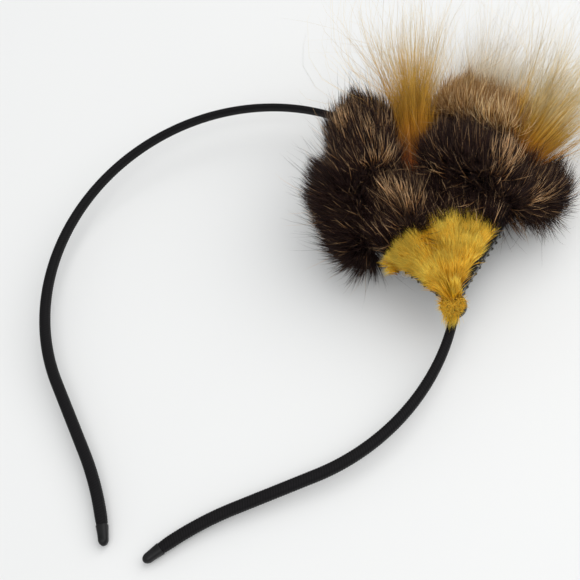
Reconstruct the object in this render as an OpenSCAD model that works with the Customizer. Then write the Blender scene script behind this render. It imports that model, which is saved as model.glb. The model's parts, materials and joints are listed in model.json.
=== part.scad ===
// Slim fabric-covered hair band with a fan of fur sewn to one side.
// The loop lies flat with its tips on the table and its crown held up by the fur.
// X runs across the loop, +Y towards the crown, +Z up; the origin is the head's centre in the loop.

/* [Head loop] */
// Inner radius of the loop where it grips the head
head_r = 64.5; // [54:0.5:80]
// Angle from the crown to the end of the round part, on each side
wrap = 137.5; // [128:0.5:142]
// Straight length of each leg below the round part
leg_len = 26; // [15:1:50]
// Radius of the outward flare at each tip
flare_r = 97; // [70:1:140]
// Angle that each tip flares through
flare = 17; // [8:1:24]
// Width of the covered band, measured across the loop's plane
band_w = 3.6; // [3:0.1:6]
// Thickness of the covered band at the crown
crown_t = 1.9; // [1.7:0.1:3]
// Thickness of the covered band along the legs
leg_t = 3.7; // [2.6:0.1:5]
// Angle by which the fur lifts the crown off the table
tilt = 4.5; // [2:0.5:7]

/* [Cover, core and caps] */
// Thickness of the woven cover around the core
cover_wall = 0.45; // [0.3:0.05:0.6]
// Clearance between the core and the cover
core_gap = 0.08; // [0.04:0.02:0.14]
// Length of each tip cap
cap_len = 4.5; // [3:0.5:8]
// Wall of each tip cap
cap_wall = 0.35; // [0.25:0.05:0.6]
// Clearance between a cap or a keeper and the cover inside it
slip_gap = 0.08; // [0.04:0.02:0.2]

/* [Flex points] */
// Angle from the crown to the point where the left side bends
left_flex_at = 60; // [40:1:90]
// Angle from the crown to the point where the right side bends
right_flex_at = 100; // [95:1:120]
// Gap left in the cover at each bending point, which turns about its outer side
flex_gap = 0.15; // [0.1:0.05:0.3]

/* [Fan base] */
// Angle from the crown to the fan's pointed end, which sits on the band
fan_at = 79; // [70:1:84]
// Lean of the fan's middle line, inwards from the band's own direction
fan_lean = 19; // [12:1:26]
// Length of the stiff base from its point to its round edge
fan_r = 50; // [42:1:56]
// Angle between the base's two straight edges
fan_open = 81.5; // [70:0.5:90]
// Radius of the base's rounded point
fan_tip_r = 4; // [3:0.5:6]
// Thickness of the stiff base
base_t = 1.8; // [1:0.1:3]
// Thickness of the felt lining under the base
lining_t = 1; // [0.6:0.1:1.6]
// How far the lining's edge is set in from the base's edge
lining_inset = 0.8; // [0.4:0.1:2]
// Width of each felt keeper along the band
keeper_len = 6; // [4:0.5:9]
// Thickness of the keepers' felt
keeper_t = 0.9; // [0.6:0.1:1.4]
// Diameter of the sewing thread
thread_d = 0.6; // [0.4:0.05:0.8]
// Distance from one edge stitch to the next
stitch_pitch = 2.4; // [1.8:0.1:4]

/* [Fur] */
// Radius of the short-pile patch, from the fan's point
patch_r = 27.5; // [22:0.5:30]
// Height of the short-pile patch above the base
patch_h = 7; // [4:0.5:9]
// Gap between one piece of fur and the next
fur_gap = 0.3; // [0.2:0.05:0.6]
// Length of the centre plume beyond its binding
plume_len = 66; // [50:1:80]

/* [Hidden] */
$fn = 96;
fur_fn = 26;
arc_steps = 30;
flare_steps = 8;
big = 400;
ecc = (leg_t - crown_t) / (1 - cos(wrap));
outer_r = head_r + crown_t + ecc;

function thickness(a) = sqrt(pow(outer_r, 2) - pow(ecc * sin(a), 2)) - ecc * cos(a) - head_r;
function midRadius(a) = head_r + thickness(a) / 2;
function onCircle(r, a) = [r * sin(a), r * cos(a)];

// The table's height, where the lower edges of the tips rest.
leg_end = onCircle(head_r, wrap) + leg_len * [cos(wrap), -sin(wrap)];
flare_mid = leg_end + (flare_r + leg_t / 2) * [sin(wrap), cos(wrap)];
tip_mid = onFlare(flare_r, flare);
tip_round = leg_t / 2 + cap_wall;
tip_low_y = tip_mid[1] - tip_round;
table_z = tip_low_y * sin(tilt) - (band_w / 2 + cap_wall) * cos(tilt);

// Heights of the stacked layers over the band's upper edge.
lining_z = band_w / 2;
base_z = lining_z + lining_t;
fur_z = base_z + base_t + fur_gap;

// How far apart the pieces of fur sit, which follows the base they cover.
fur_spread = fan_r / 50;

// Soft rolls of long fur: the two ends and the radius of each, in the fan's own directions.
LEFT_BOTTOM = [[39, 27, 8], [29, 28, 0.5], 12.5];
LEFT_TOP = [[69, 20, 8], [54, 19.5, 9], 11.5];
MIDDLE = [[42, 8.5, 9], [32, 9, 10], 8];
CENTRE = [[49, -10, 9], [39, -10.5, 10], 13.5];
CENTRE_TOP = [[67, -14.5, 7], [64, -23, 7], 10.5];
RIGHT = [[27.5, -22, 8], [28.5, -34, -3.6], 10.5];

// Long plumes: root, spread and tips, each with its radius.
CENTRE_PLUME = [[47.5, 4, 8.5, 3.5], [86, -3, 13, 9], [43 + plume_len, -3, 13, 8]];
RIGHT_PLUME = [[45, -30, 7.5, 3.5], [62, -47, 10, 8], [74, -59, 10, 8]];
BACK_PLUME = [[54, -15, 0.5, 3.2], [98, -22, -7.4, 11], [90, -41, -7, 10]];

// Plume bindings: middle of the ring, its direction in the fan's plane, its radius.
CENTRE_BINDING = [[40.5, 5, fur_z + 3], -8, 2.8];
RIGHT_BINDING = [[39.5, -24.5, fur_z + 3], -45, 2.8];
BACK_BINDING = [[46, -14, lining_z - 2.6], -8, 2.3];
binding_len = 4;

// Angles from the crown to the felt keepers that hold the fan to the band.
keepers_at = [12, 40, 56, 71];
// Where one short-pile patch ends and the next starts, and how far that one runs past the base's edge.
patch_split = 9;
patch_parting = 0.8;
patch_overhang = 8;

// Placing helpers

module lay() {
    rotate([tilt, 0, 0]) children();
}

module atBand(a) {
    p = onCircle(midRadius(a), a);
    translate([p[0], p[1], 0]) rotate(-a) children();
}

module atFan() {
    p = onCircle(midRadius(fan_at), fan_at);
    translate([p[0], p[1], 0]) rotate(180 - fan_at + fan_lean) children();
}

// A wedge about the loop's centre between two angles from the crown, positive to the right.
module wedge(a0, a1, half_h) {
    steps = ceil((a1 - a0) / 30);
    arc = [for (i = [0 : steps]) onCircle(big, a0 + (a1 - a0) * i / steps)];
    translate([0, 0, -half_h]) linear_extrude(2 * half_h) polygon(concat([[0, 0]], arc));
}

// The band's outline, grown or shrunk by an amount on every side

module roundPart(grow) {
    h = band_w + 2 * grow;
    difference() {
        translate([0, -ecc, -h / 2]) cylinder(h = h, r = outer_r + grow, $fn = 240);
        translate([0, 0, -h / 2 - 1]) cylinder(h = h + 2, r = head_r - grow, $fn = 240);
    }
}

// A point on the flare, at a distance from its centre and an angle from its start.
function onFlare(r, f) = flare_mid - r * [sin(wrap - f), cos(wrap - f)];
function degreesBack(d) = d / flare_r * 180 / PI;

// The two long sides of the right arm, from an angle on the round part to an angle on the flare.
function roundSide(from_a, out, grow) = [for (i = [0 : arc_steps])
    let (a = from_a + (wrap - from_a) * i / arc_steps)
    onCircle(head_r + out * thickness(a) + (2 * out - 1) * grow, a)];
function flareSide(from_f, to_f, out, grow) = [for (i = [0 : flare_steps])
    onFlare(flare_r + (0.5 - out) * (leg_t + 2 * grow), from_f + (to_f - from_f) * i / flare_steps)];
function turned(points) = [for (i = [len(points) - 1 : -1 : 0]) points[i]];

module armStrip(from_a, grow, to_f) {
    h = band_w + 2 * grow;
    inner = concat(roundSide(from_a, 0, grow), flareSide(0, to_f, 0, grow));
    outer = concat(roundSide(from_a, 1, grow), flareSide(0, to_f, 1, grow));
    translate([0, 0, -h / 2]) linear_extrude(h) polygon(concat(inner, turned(outer)));
}

module coreCrown() {
    inset = cover_wall + core_gap;
    back = 2;
    color("silver") lay() intersection() {
        roundPart(-inset);
        wedge(-left_flex_at + back, right_flex_at - back, big);
    }
}

module coverCrown() {
    past = 4;
    color([0.07, 0.06, 0.08]) lay() difference() {
        intersection() {
            roundPart(0);
            wedge(-left_flex_at, right_flex_at, big);
        }
        intersection() {
            roundPart(-cover_wall);
            wedge(-left_flex_at - past, right_flex_at + past, big);
        }
    }
}

module armCore(flex_at) {
    inset = cover_wall + core_gap;
    start = 3;
    color("silver") armStrip(flex_at + start, -inset, flare - degreesBack(2));
}

module armCover(flex_at) {
    start = flex_at + flex_gap / head_r * 180 / PI;
    color([0.07, 0.06, 0.08]) difference() {
        armStrip(start, 0, flare - degreesBack(1));
        armStrip(flex_at - 1, -cover_wall, flare);
    }
}

module tipCap() {
    h = band_w + 2 * cap_wall;
    start = flare - degreesBack(cap_len);
    end = onFlare(flare_r, flare);
    nose = [for (i = [1 : 11]) end + tip_round * [sin(wrap - flare + 15 * i), cos(wrap - flare + 15 * i)]];
    inner = flareSide(start, flare, 0, cap_wall);
    outer = flareSide(start, flare, 1, cap_wall);
    color([0.16, 0.16, 0.17]) difference() {
        translate([0, 0, -h / 2]) linear_extrude(h) polygon(concat(inner, turned(nose), turned(outer)));
        armStrip(wrap - 10, slip_gap, flare - degreesBack(0.9));
    }
}

// A fan-shaped sheet; grow moves all its edges outwards.
module fanSheet(grow, z0, z1) {
    half = fan_open / 2;
    back = grow / sin(half);
    translate([-back, 0, z0]) rotate(-half) rotate_extrude(angle = fan_open)
        square([fan_r + grow + back, z1 - z0]);
    translate([0, 0, z0]) cylinder(h = z1 - z0, r = fan_tip_r + grow);
}

module fanBase() {
    color([0.06, 0.06, 0.06]) lay() atFan() fanSheet(0, base_z, base_z + base_t);
}

module baseLining() {
    color([0.1, 0.09, 0.09]) lay() atFan() fanSheet(-lining_inset, lining_z, base_z);
}

// Slanting whip stitches laid over the base's two straight edges.
module edgeStitches() {
    r = thread_d / 2;
    first = 7;
    clear = 1;
    count = floor((patch_r - fur_gap - clear - first) / stitch_pitch) + 1;
    slant = 24;
    seat = 0.05;
    color([0.2, 0.19, 0.18]) lay() atFan()
        for (side = [-1, 1], i = [0 : count - 1])
            rotate(side * fan_open / 2)
                translate([first + i * stitch_pitch, side * (r + seat), base_z + base_t / 2])
                rotate([0, slant, 0]) cylinder(h = base_t + 2 * r, r = r, center = true, $fn = 20);
}

// A felt strap folded round the band, from under it up to a height.
module keeper(a, top) {
    low = -band_w / 2 - slip_gap - keeper_t;
    wide = thickness(a) + 2 * (keeper_t + slip_gap);
    color([0.09, 0.08, 0.08]) lay() difference() {
        atBand(a) translate([-keeper_len / 2, -wide / 2, low]) cube([keeper_len, wide, top - low]);
        roundPart(slip_gap);
    }
}

module threadLoop() {
    loop_r = 1.9;
    wire_r = 0.2;
    half = fan_open / 2;
    reach = 19;
    color([0.85, 0.87, 0.88]) lay() atFan()
        rotate(half) translate([reach, wire_r + 0.1, base_z + base_t / 2])
        rotate_extrude(angle = 180) translate([loop_r, 0]) circle(r = wire_r, $fn = 16);
}

// A place in the fan's own directions that follows the size of its base.
module atFur(p) {
    translate([fur_spread * p[0], fur_spread * p[1], p[2]]) children();
}

module binding(b) {
    color([0.12, 0.1, 0.09]) lay() atFan() atFur(b[0]) rotate(b[1]) rotate([0, 90, 0])
        difference() {
            cylinder(h = binding_len, r = b[2], center = true);
            cylinder(h = binding_len + 1, r = b[2] - thread_d, center = true);
        }
}

module bindingSpace(b) {
    atFur(b[0]) rotate(b[1]) rotate([0, 90, 0])
        cylinder(h = binding_len + 2 * fur_gap, r = b[2] + fur_gap, center = true);
}

module roll(f, grow) {
    hull() {
        atFur(f[0]) sphere(r = f[2] + grow, $fn = fur_fn);
        atFur(f[1]) sphere(r = f[2] + grow, $fn = fur_fn);
    }
}

module plume(f, grow) {
    hull() for (s = f) atFur(s) sphere(r = s[3] + grow, $fn = fur_fn);
}

module belowTable() {
    translate([-big, -big, table_z - big]) cube([2 * big, 2 * big, big]);
}

module belowFur() {
    translate([-big, -big, fur_z - big]) cube([2 * big, 2 * big, big]);
}

module patchSpace() {
    translate([0, 0, -big / 2]) cylinder(h = big, r = patch_r + fur_gap);
}

// Fur that sits on top of the base and the band.
module upperLobe(f) {
    color([0.13, 0.08, 0.07]) lay() atFan() difference() {
        roll(f, 0);
        belowFur();
        patchSpace();
        children();
    }
}

// Fur that wraps over the base's edge and reaches down to the table.
module edgeLobe(f) {
    color([0.13, 0.08, 0.07]) difference() {
        lay() atFan() difference() {
            roll(f, 0);
            fanSheet(fur_gap, lining_z - fur_gap, fur_z);
            patchSpace();
            children();
        }
        belowTable();
    }
}

module leftBottomLobe() {
    edgeLobe(LEFT_BOTTOM);
}

module leftTopLobe() {
    upperLobe(LEFT_TOP) roll(LEFT_BOTTOM, fur_gap);
}

module middleLobe() {
    upperLobe(MIDDLE) {
        roll(LEFT_BOTTOM, fur_gap);
        roll(LEFT_TOP, fur_gap);
        bindingSpace(CENTRE_BINDING);
    }
}

module centreLobe() {
    upperLobe(CENTRE) {
        roll(MIDDLE, fur_gap);
        bindingSpace(CENTRE_BINDING);
        bindingSpace(RIGHT_BINDING);
    }
}

module centreTopLobe() {
    color([0.36, 0.22, 0.1]) lay() atFan() difference() {
        roll(CENTRE_TOP, 0);
        roll(CENTRE, fur_gap);
    }
}

module rightLobe() {
    edgeLobe(RIGHT) {
        roll(CENTRE, fur_gap);
        bindingSpace(RIGHT_BINDING);
    }
}

// A sector of short pile with a domed top.
module pile(a0, a1, r) {
    dome_r = 30;
    seat = 14;
    color([0.87, 0.66, 0.16]) lay() atFan() intersection() {
        translate([0, 0, fur_z]) rotate(a0) rotate_extrude(angle = a1 - a0) square([r, patch_h]);
        translate([seat, 0, fur_z + patch_h - dome_r]) sphere(r = dome_r, $fn = 96);
    }
}

module yellowPatch() {
    pile(-fan_open / 2, patch_split, patch_r);
}

module yellowSidePatch() {
    shorter = 1.5;
    pile(patch_split + patch_parting, fan_open / 2 + patch_overhang, patch_r - shorter);
}

module centrePlume() {
    color([0.8, 0.52, 0.12]) lay() atFan() difference() {
        plume(CENTRE_PLUME, 0);
        roll(MIDDLE, fur_gap);
        roll(LEFT_TOP, fur_gap);
        roll(CENTRE, fur_gap);
        roll(CENTRE_TOP, fur_gap);
        bindingSpace(CENTRE_BINDING);
        belowFur();
    }
}

module rightPlume() {
    color([0.78, 0.52, 0.14]) lay() atFan() difference() {
        plume(RIGHT_PLUME, 0);
        roll(RIGHT, fur_gap);
        roll(CENTRE, fur_gap);
        roll(CENTRE_TOP, fur_gap);
        bindingSpace(RIGHT_BINDING);
        fanSheet(fur_gap, lining_z - fur_gap, fur_z);
    }
}

module backPlume() {
    color([0.86, 0.78, 0.62]) difference() {
        lay() atFan() difference() {
            plume(BACK_PLUME, 0);
            roll(CENTRE, fur_gap);
            roll(CENTRE_TOP, fur_gap);
            plume(CENTRE_PLUME, fur_gap);
            plume(RIGHT_PLUME, fur_gap);
            fanSheet(fur_gap, lining_z - fur_gap, fur_z);
            bindingSpace(BACK_BINDING);
        }
        belowTable();
    }
}

coreCrown();  // core_crown
lay() mirror([1, 0, 0]) armCore(left_flex_at);  // core_left_arm
lay() armCore(right_flex_at);  // core_right_arm
coverCrown();  // cover_crown
lay() mirror([1, 0, 0]) armCover(left_flex_at);  // cover_left_arm
lay() armCover(right_flex_at);  // cover_right_arm
lay() mirror([1, 0, 0]) tipCap();  // left_tip_cap
lay() tipCap();  // right_tip_cap
fanBase();  // fan_base
baseLining();  // base_lining
edgeStitches();  // edge_stitches
keeper(keepers_at[0], fur_z - fur_gap);  // keeper_crown
keeper(keepers_at[1], lining_z);  // keeper_upper
keeper(keepers_at[2], lining_z);  // keeper_middle
keeper(keepers_at[3], lining_z);  // keeper_lower
threadLoop();  // thread_loop
leftTopLobe();  // left_top_lobe
leftBottomLobe();  // left_bottom_lobe
middleLobe();  // middle_lobe
centreLobe();  // centre_lobe
centreTopLobe();  // centre_top_lobe
rightLobe();  // right_lobe
yellowPatch();  // yellow_patch
yellowSidePatch();  // yellow_side_patch
centrePlume();  // centre_plume
rightPlume();  // right_plume
backPlume();  // back_plume
binding(CENTRE_BINDING);  // centre_binding
binding(RIGHT_BINDING);  // right_binding
binding(BACK_BINDING);  // back_binding
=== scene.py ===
import json
import math

import bmesh
import bpy
import numpy as np
from mathutils import Matrix, Vector


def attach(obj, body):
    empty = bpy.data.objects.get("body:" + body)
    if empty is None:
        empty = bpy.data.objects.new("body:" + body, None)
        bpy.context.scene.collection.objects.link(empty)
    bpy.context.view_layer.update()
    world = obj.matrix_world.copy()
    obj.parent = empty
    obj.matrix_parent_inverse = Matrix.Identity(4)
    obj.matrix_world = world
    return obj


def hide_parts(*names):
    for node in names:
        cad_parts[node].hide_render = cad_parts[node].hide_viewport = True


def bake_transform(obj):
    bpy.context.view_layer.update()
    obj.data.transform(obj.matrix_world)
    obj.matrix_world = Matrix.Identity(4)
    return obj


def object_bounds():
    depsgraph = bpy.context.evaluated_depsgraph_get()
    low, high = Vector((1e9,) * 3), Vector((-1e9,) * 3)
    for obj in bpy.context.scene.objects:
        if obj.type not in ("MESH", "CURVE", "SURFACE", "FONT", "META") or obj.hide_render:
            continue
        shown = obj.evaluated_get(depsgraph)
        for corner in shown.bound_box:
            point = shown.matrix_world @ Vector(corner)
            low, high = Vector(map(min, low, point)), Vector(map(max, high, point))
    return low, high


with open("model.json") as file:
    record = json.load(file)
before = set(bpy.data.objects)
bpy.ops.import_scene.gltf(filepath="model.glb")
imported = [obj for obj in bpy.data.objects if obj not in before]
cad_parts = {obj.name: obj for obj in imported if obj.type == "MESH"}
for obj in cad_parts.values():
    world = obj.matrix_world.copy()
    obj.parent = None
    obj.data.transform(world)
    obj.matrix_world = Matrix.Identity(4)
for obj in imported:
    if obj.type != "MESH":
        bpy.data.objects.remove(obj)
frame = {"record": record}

cadBox = [list(corner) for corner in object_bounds()]
mm = 0.001

# Pieces are drawn in millimetres and degrees, then placed in the model's metres.
mounts = {m["name"]: m for m in frame["record"]["mounts"]}
grip = mounts["head_grip"]
band = {
    "headRadius": grip["dims"]["r_mm"],
    "width": grip["dims"]["length_mm"],
    "crownThick": 1.9,
    "legThick": 3.7,
    "wrap": 137.5,
    "legLength": 26,
    "flareRadius": 97,
    "flare": 17,
}
fan = {
    "at": 79,  # angle from the crown to the fan's point
    "lean": 19,
    "radius": 50,
    "open": 81.5,
    "tipRadius": 4,
    "baseThick": 1.8,
    "liningThick": 1,
    "furGap": 0.3,
}
tilt = math.atan2(grip["axis"][1], -grip["axis"][2])
liningZ = band["width"] / 2
baseZ = liningZ + fan["liningThick"]
topZ = baseZ + fan["baseThick"]
furZ = topZ + fan["furGap"]
tableZ = cadBox[0][2]

wrapTurn = math.radians(band["wrap"])
ecc = (band["legThick"] - band["crownThick"]) / (1 - math.cos(wrapTurn))
outerRadius = band["headRadius"] + band["crownThick"] + ecc
lineRadius = band["headRadius"] + band["legThick"] / 2
roundLength = wrapTurn * lineRadius
sideLength = roundLength + band["legLength"] + math.radians(band["flare"]) * band["flareRadius"]


def thickness(a):
    return (np.sqrt(outerRadius ** 2 - (ecc * np.sin(a)) ** 2)
            - ecc * np.cos(a) - band["headRadius"])


# Middle line of the band, outward direction and half thickness, at lengths from the crown.
def bandLine(s):
    s = np.asarray(s, float)
    a = np.minimum(s, roundLength) / lineRadius
    half = thickness(a) / 2
    leg = np.clip(s - roundLength, 0, band["legLength"])
    f = np.maximum(s - roundLength - band["legLength"], 0) / band["flareRadius"]
    out = np.stack([np.sin(a - f), np.cos(a - f)], -1)
    spoke = np.stack([np.sin(a), np.cos(a)], -1)
    point = (band["headRadius"] + half)[:, None] * spoke
    point += leg[:, None] * np.array([math.cos(wrapTurn), -math.sin(wrapTurn)])
    point += band["flareRadius"] * (spoke - out)
    return point, out, half


bandPlace = Matrix.Scale(mm, 4) @ Matrix.Rotation(tilt, 4, "X")
fanPoint = bandLine([math.radians(fan["at"]) * lineRadius])[0][0]
fanTurn = math.radians(180 - fan["at"] + fan["lean"])
fanPlace = bandPlace @ Matrix.Translation((*fanPoint, 0)) @ Matrix.Rotation(fanTurn, 4, "Z")


def placed(points, matrix):
    m = np.array(matrix)
    return points @ m[:3, :3].T + m[:3, 3]


# Materials

def newMaterial(name, roughness, specular=0.5):
    material = bpy.data.materials.new(name)
    material.use_nodes = True
    nodes = material.node_tree.nodes
    shader = nodes["Principled BSDF"]
    shader.inputs["Roughness"].default_value = roughness
    shader.inputs["Specular IOR Level"].default_value = specular
    return material, nodes, material.node_tree.links, shader


def ramp(nodes, stops):
    node = nodes.new("ShaderNodeValToRGB")
    elements = node.color_ramp.elements
    while len(elements) < len(stops):
        elements.new(0.5)
    for element, (place, colour) in zip(elements, stops):
        element.position = place
        element.color = (*colour, 1)
    return node


# Colours a shader by a ramp over another node's value.
def paint(nodes, links, shader, source, stops):
    tint = ramp(nodes, stops)
    links.new(source, tint.inputs["Fac"])
    links.new(tint.outputs["Color"], shader.inputs["Base Color"])


def mathNode(nodes, links, kind, a, b=0.0):
    node = nodes.new("ShaderNodeMath")
    node.operation = kind
    for socket, value in zip(node.inputs, (a, b)):
        if isinstance(value, (int, float)):
            socket.default_value = value
        else:
            links.new(value, socket)
    return node.outputs[0]


def addBump(nodes, links, shader, height, strength, distance):
    bump = nodes.new("ShaderNodeBump")
    bump.inputs["Strength"].default_value = strength
    bump.inputs["Distance"].default_value = distance
    links.new(height, bump.inputs["Height"])
    links.new(bump.outputs["Normal"], shader.inputs["Normal"])


def noise(nodes, links, scale, detail=3, stretch=(1, 1, 1)):
    coords = nodes.new("ShaderNodeTexCoord")
    mapping = nodes.new("ShaderNodeMapping")
    mapping.inputs["Scale"].default_value = stretch
    texture = nodes.new("ShaderNodeTexNoise")
    texture.inputs["Scale"].default_value = scale
    texture.inputs["Detail"].default_value = detail
    links.new(coords.outputs["Object"], mapping.inputs["Vector"])
    links.new(mapping.outputs["Vector"], texture.inputs["Vector"])
    return texture.outputs["Fac"]


cover = {
    "ribPitch": 0.8,
    "ribTurns": 5,      # how many ribs a rib climbs in one turn
    "ribHeight": 0.14,
    "ringStep": 0.16,
    "sides": 28,
    "wall": 0.45,
    "splitAt": 12,      # degrees right of the crown, under the fur
    "short": 0.6,       # how far it stops before the tip, inside the cap
    "boreRings": 120,
    "roundness": 2.7,
    "yarn": 0.27,
    # Colours of the painted shade in the rib grooves and of the painted highlight on the rib crests.
    "valley": (0.001, 0.0009, 0.001),
    "ridge": (0.0085, 0.0072, 0.0085),
}


def coverMaterial():
    material, nodes, links, shader = newMaterial("wovenCover", 0.6, 0.14)
    shader.inputs["Sheen Weight"].default_value = 0.02
    shader.inputs["Sheen Roughness"].default_value = 0.4
    uv = nodes.new("ShaderNodeUVMap")
    uv.uv_map = "weave"
    parts = nodes.new("ShaderNodeSeparateXYZ")
    links.new(uv.outputs["UV"], parts.inputs["Vector"])
    along, around = parts.outputs["X"], parts.outputs["Y"]
    ribs = mathNode(nodes, links, "MULTIPLY", along, 1 / cover["ribPitch"])
    ribs = mathNode(nodes, links, "ADD", ribs, mathNode(nodes, links, "MULTIPLY", around, cover["ribTurns"]))
    ribs = mathNode(nodes, links, "PINGPONG", ribs, 0.5)
    yarn = mathNode(nodes, links, "MULTIPLY", along, 1 / cover["yarn"])
    yarn = mathNode(nodes, links, "ADD", yarn, mathNode(nodes, links, "MULTIPLY", around, -24))
    yarn = mathNode(nodes, links, "PINGPONG", yarn, 0.5)
    lint = noise(nodes, links, 900, 4)
    # Painted shade and painted highlight: the grooves of the ribs and yarns are coloured darker and their
    # crests lighter, mottled by random lint.
    shade = mathNode(nodes, links, "MULTIPLY", ribs, 1.4)
    shade = mathNode(nodes, links, "ADD", shade, mathNode(nodes, links, "MULTIPLY", yarn, 0.35))
    shade = mathNode(nodes, links, "MULTIPLY", shade, mathNode(nodes, links, "ADD", lint, 0.45))
    paint(nodes, links, shader, shade, [(0.05, cover["valley"]), (0.9, cover["ridge"])])
    addBump(nodes, links, shader, yarn, 0.5, 0.00012)
    return material


def feltMaterial(name, dark, light, roughness=0.95):
    material, nodes, links, shader = newMaterial(name, roughness, 0.2)
    shader.inputs["Sheen Weight"].default_value = 0.3
    coarse = noise(nodes, links, 500, 5)
    fine = noise(nodes, links, 2600, 3, (1, 0.35, 1))
    height = mathNode(nodes, links, "ADD", coarse, mathNode(nodes, links, "MULTIPLY", fine, 0.7))
    paint(nodes, links, shader, height, [(0.5, dark), (0.885, light)])
    addBump(nodes, links, shader, height, 0.6, 0.0003)
    return material


def capMaterial():
    material, nodes, links, shader = newMaterial("capRubber", 0.42, 0.25)
    mottle = noise(nodes, links, 320, 4)
    paint(nodes, links, shader, mottle, [(0.35, (0.003, 0.003, 0.003)), (0.7, (0.009, 0.0085, 0.009))])
    addBump(nodes, links, shader, noise(nodes, links, 1500, 2), 0.25, 0.0001)
    return material


def coreMaterial():
    material, nodes, links, shader = newMaterial("springSteel", 0.3)
    shader.inputs["Metallic"].default_value = 1
    grain = noise(nodes, links, 700, 3, (1, 1, 8))
    paint(nodes, links, shader, grain, [(0.3, (0.42, 0.43, 0.45)), (0.7, (0.62, 0.63, 0.65))])
    addBump(nodes, links, shader, grain, 0.2, 0.00005)
    return material


def threadMaterial(name, dark, pale, share):
    material, nodes, links, shader = newMaterial(name, 0.6, 0.3)
    fleck = noise(nodes, links, 1500, 3)
    paint(nodes, links, shader, fleck, [(share - 0.06, dark), (share + 0.06, pale)])
    addBump(nodes, links, shader, noise(nodes, links, 3200, 2), 0.5, 0.0001)
    return material


def nylonMaterial():
    material, nodes, links, shader = newMaterial("clearNylon", 0.12)
    shader.inputs["Transmission Weight"].default_value = 0.85
    shader.inputs["IOR"].default_value = 1.53
    cloud = noise(nodes, links, 400, 2)
    paint(nodes, links, shader, cloud, [(0.3, (0.86, 0.88, 0.9)), (0.7, (0.97, 0.98, 1.0))])
    return material


# Hair colour comes from the strand's own map: across it one shade per strand, along it root to tip.
def furMaterial(name, shades, plain, guard, roughness=0.5, specular=0.3, cloudy=(0.8, 1.0, 160)):
    material, nodes, links, shader = newMaterial(name, roughness, specular)
    uv = nodes.new("ShaderNodeUVMap")
    uv.uv_map = "OFBake"
    parts = nodes.new("ShaderNodeSeparateXYZ")
    links.new(uv.outputs["UV"], parts.inputs["Vector"])
    shade, along = parts.outputs["X"], parts.outputs["Y"]
    both = []
    for stops in (plain, guard):
        tint = ramp(nodes, stops)
        links.new(along, tint.inputs["Fac"])
        both.append(tint.outputs["Color"])
    kind = ramp(nodes, [(place, (level,) * 3) for place, level in shades])
    links.new(shade, kind.inputs["Fac"])
    mix = nodes.new("ShaderNodeMix")
    mix.data_type = "RGBA"
    links.new(kind.outputs["Color"], mix.inputs["Factor"])
    links.new(both[0], mix.inputs["A"])
    links.new(both[1], mix.inputs["B"])
    jitter = mathNode(nodes, links, "FRACT", mathNode(nodes, links, "MULTIPLY", shade, 37.0))
    clump = ramp(nodes, [(0.36, (cloudy[0],) * 3), (0.62, (cloudy[1],) * 3)])
    links.new(noise(nodes, links, cloudy[2], 3), clump.inputs["Fac"])
    level = mathNode(nodes, links, "ADD", mathNode(nodes, links, "MULTIPLY", jitter, 0.6), 0.7)
    value = nodes.new("ShaderNodeHueSaturation")
    links.new(mathNode(nodes, links, "MULTIPLY", level, clump.outputs["Color"]), value.inputs["Value"])
    links.new(mix.outputs["Result"], value.inputs["Color"])
    links.new(value.outputs["Color"], shader.inputs["Base Color"])
    return material


darkHair = furMaterial(
    "darkHair",
    [(0.0, 0), (0.46, 0.0), (0.58, 0.12), (0.68, 0.26), (0.75, 0.95), (1.0, 1)],
    [(0.0, (0.003, 0.002, 0.002)), (0.5, (0.010, 0.005, 0.005)), (1.0, (0.036, 0.014, 0.010))],
    [(0.0, (0.02, 0.007, 0.003)), (0.3, (0.27, 0.10, 0.03)), (0.55, (0.64, 0.34, 0.14)),
     (1.0, (0.88, 0.60, 0.34))],
    0.42, 0.13)
brownHair = furMaterial(
    "brownHair",
    [(0.0, 0), (0.5, 0.15), (0.7, 0.45), (0.8, 1), (1.0, 1)],
    [(0.0, (0.014, 0.005, 0.003)), (0.4, (0.13, 0.045, 0.009)), (1.0, (0.42, 0.20, 0.045))],
    [(0.0, (0.12, 0.04, 0.008)), (0.3, (0.56, 0.28, 0.07)), (0.6, (0.93, 0.62, 0.27)),
     (1.0, (1.0, 0.82, 0.52))])
# The pile runs from darker amber roots to yellow tips. This is the fur's own colour, and partly painted shade
# deep in the pile.
yellowPile = furMaterial(
    "yellowPile",
    [(0.0, 0), (0.35, 0.3), (0.8, 1), (1.0, 1)],
    [(0.0, (0.34, 0.09, 0.003)), (0.5, (0.72, 0.30, 0.008)), (1.0, (0.92, 0.52, 0.024))],
    [(0.0, (0.55, 0.21, 0.004)), (0.45, (0.93, 0.56, 0.02)), (1.0, (0.98, 0.76, 0.13))],
    0.55, 0.25, (0.74, 1.0, 190))
goldenHair = furMaterial(
    "goldenHair",
    [(0.0, 0), (0.45, 0.25), (0.75, 0.9), (1.0, 1)],
    [(0.0, (0.14, 0.025, 0.003)), (0.14, (0.36, 0.08, 0.004)), (0.34, (0.50, 0.21, 0.008)),
     (0.54, (0.62, 0.34, 0.03)), (0.72, (0.74, 0.52, 0.18)), (1.0, (0.86, 0.72, 0.46))],
    [(0.0, (0.20, 0.04, 0.004)), (0.14, (0.44, 0.12, 0.005)), (0.34, (0.62, 0.30, 0.014)),
     (0.52, (0.76, 0.48, 0.09)), (0.66, (0.90, 0.76, 0.44)), (1.0, (0.97, 0.92, 0.76))],
    0.45, 0.35, (0.72, 1.0, 120))
paleHair = furMaterial(
    "paleHair",
    [(0.0, 0), (0.5, 0.3), (0.8, 1), (1.0, 1)],
    [(0.0, (0.34, 0.16, 0.04)), (0.4, (0.70, 0.50, 0.24)), (1.0, (0.90, 0.80, 0.62))],
    [(0.0, (0.55, 0.36, 0.15)), (0.4, (0.90, 0.80, 0.60)), (1.0, (0.97, 0.94, 0.88))],
    0.45, 0.35)
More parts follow.
